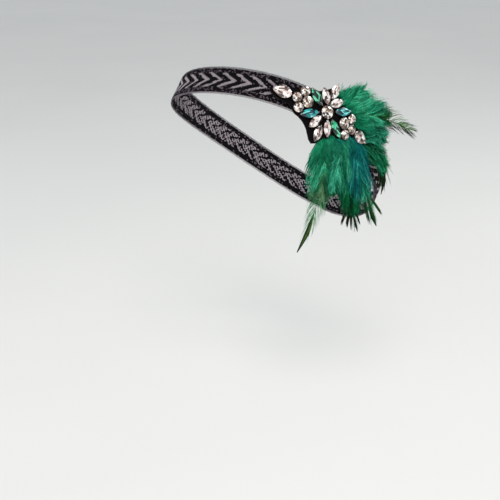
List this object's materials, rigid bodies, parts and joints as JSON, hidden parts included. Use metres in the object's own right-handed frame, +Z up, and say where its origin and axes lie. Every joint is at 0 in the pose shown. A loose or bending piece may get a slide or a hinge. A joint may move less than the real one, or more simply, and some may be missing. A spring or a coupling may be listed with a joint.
{
  "type": "flapper headband",
  "caption": "Woven chevron ribbon headband, lapped into a loop for the head, with a felt-backed spray of claw-set stones and dyed green feathers at one side.",
  "frame": {"origin": "centre of the head loop, halfway between its sides, its front and back and the edges of the ribbon", "axes": "+Z up as worn; the front of the loop towards -Y; the wearer's left, where the spray is, towards +X"},
  "size_m": [0.1634, 0.1533, 0.1279],
  "materials": {
    "ribbon": "woven black and silver chevrons with metallic specks and a pale looped edge",
    "felt": "matte wool felt",
    "gunmetal": "dark plated metal, satin",
    "champagne_glass": "foil-backed cut glass, champagne",
    "clear_glass": "foil-backed cut glass, clear",
    "emerald_glass": "foil-backed cut glass, emerald",
    "teal_glass": "foil-backed cut glass, teal",
    "feather_emerald": "dyed feather barbs, emerald",
    "feather_forest": "dyed feather barbs, dark green",
    "feather_teal": "dyed feather barbs, teal"
  },
  "bodies": {
    "root": {"band": "ribbon", "backing": "felt", "setting_centre": "gunmetal", "stone_centre": "champagne_glass", "setting_round_fore_inner": "gunmetal", "stone_round_fore_inner": "champagne_glass", "setting_round_fore_upper": "gunmetal", "stone_round_fore_upper": "champagne_glass", "setting_round_fore_lower": "gunmetal", "stone_round_fore_lower": "champagne_glass", "setting_round_fore_outer": "gunmetal", "stone_round_fore_outer": "champagne_glass", "setting_round_aft_inner": "gunmetal", "stone_round_aft_inner": "champagne_glass", "setting_round_aft_upper": "gunmetal", "stone_round_aft_upper": "champagne_glass", "setting_round_aft_lower": "gunmetal", "stone_round_aft_lower": "champagne_glass", "setting_round_aft_outer": "gunmetal", "stone_round_aft_outer": "champagne_glass", "setting_pear_fore": "gunmetal", "stone_pear_fore": "clear_glass", "setting_pear_aft": "gunmetal", "stone_pear_aft": "clear_glass", "setting_petal_upper_fore": "gunmetal", "stone_petal_upper_fore": "clear_glass", "setting_petal_upper_aft": "gunmetal", "stone_petal_upper_aft": "clear_glass", "setting_petal_upper_middle": "gunmetal", "stone_petal_upper_middle": "clear_glass", "setting_petal_lower_fore": "gunmetal", "stone_petal_lower_fore": "clear_glass", "setting_petal_lower_aft": "gunmetal", "stone_petal_lower_aft": "clear_glass", "setting_petal_lower_middle": "gunmetal", "stone_petal_lower_middle": "clear_glass", "setting_emerald_fore": "gunmetal", "stone_emerald_fore": "emerald_glass", "setting_emerald_aft": "gunmetal", "stone_emerald_aft": "emerald_glass", "setting_teal_fore": "gunmetal", "stone_teal_fore": "teal_glass", "setting_teal_aft": "gunmetal", "stone_teal_aft": "teal_glass", "feather_crest": "feather_emerald", "feather_back_upper": "feather_forest", "feather_back_middle": "feather_emerald", "feather_back_lower": "feather_forest", "feather_hang_front": "feather_emerald", "feather_hang_middle": "feather_emerald", "feather_hang_rear": "feather_teal", "feather_hang_under": "feather_forest"}
  },
  "joints": []
}
